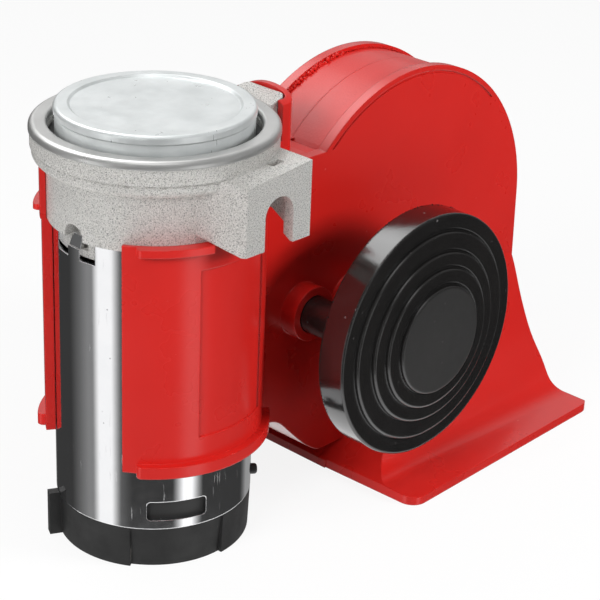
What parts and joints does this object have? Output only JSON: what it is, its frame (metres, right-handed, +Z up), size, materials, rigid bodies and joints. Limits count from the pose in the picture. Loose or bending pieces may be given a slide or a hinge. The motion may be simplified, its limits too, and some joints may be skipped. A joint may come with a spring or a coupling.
{
  "type": "car air horn",
  "caption": "Compact electric air horn: a bright cylindrical motor compressor with a cast head, clipped into a red moulded spiral trumpet with a flared bell and side diaphragm discs.",
  "frame": {"origin": "on the compressor's axis, at the underside of its rubber foot", "axes": "+Z up along the compressor's axis, +X from the compressor towards the horn's bell, -Y towards the side with the slotted mounting lug"},
  "size_m": [0.1688, 0.0916, 0.117],
  "materials": {
    "horn_red": "glossy moulded plastic with fine scuffs",
    "disc_black": "satin black moulded plastic",
    "foot_rubber": "matt black rubber",
    "seal_rubber": "plain rubber",
    "dark_plastic": "plain dark plastic",
    "cast_metal": "grainy as-cast metal with a turned flange",
    "bright_can": "bright plated steel",
    "plated_cap": "satin zinc plate",
    "steel": "plain steel",
    "copper": "copper",
    "magnet": "sintered magnet",
    "carbon": "pressed carbon",
    "brass": "plain brass"
  },
  "bodies": {
    "horn": {"brush_box_far": "brass", "brush_box_near": "brass", "brush_card": "dark_plastic", "brush_far": "carbon", "brush_near": "carbon", "cap_seal": "seal_rubber", "end_bell": "dark_plastic", "far_cover": "horn_red", "far_diaphragm": "steel", "far_diaphragm_cap": "disc_black", "far_diaphragm_gasket": "seal_rubber", "far_diaphragm_tray": "disc_black", "far_throat_seal": "seal_rubber", "head_cap": "plated_cap", "horn_body": "horn_red", "lower_bush": "brass", "magnet_left": "magnet", "magnet_right": "magnet", "motor_can": "bright_can", "near_cover": "horn_red", "near_diaphragm": "steel", "near_diaphragm_cap": "disc_black", "near_diaphragm_gasket": "seal_rubber", "near_diaphragm_tray": "disc_black", "near_throat_seal": "seal_rubber", "nipple_seal": "seal_rubber", "outlet_nipple": "brass", "pump_cover_plate": "steel", "pump_head": "cast_metal", "pump_liner": "steel", "pump_screws": "steel", "rubber_foot": "foot_rubber", "terminal_blade_1": "brass", "terminal_blade_2": "brass", "terminal_plug": "dark_plastic", "upper_bush": "brass"},
    "rotor": {"motor_shaft": "steel", "armature_core": "steel", "armature_windings": "copper", "commutator": "copper", "pump_rotor": "steel", "vane_1": "carbon", "vane_2": "carbon", "vane_3": "carbon", "vane_4": "carbon"}
  },
  "joints": [
    {"name": "motor_spin", "type": "hinge", "parent": "horn", "child": "rotor", "pos_m": [0, 0, 0.05], "axis": [0, 0, 1], "continuous": true}
  ]
}
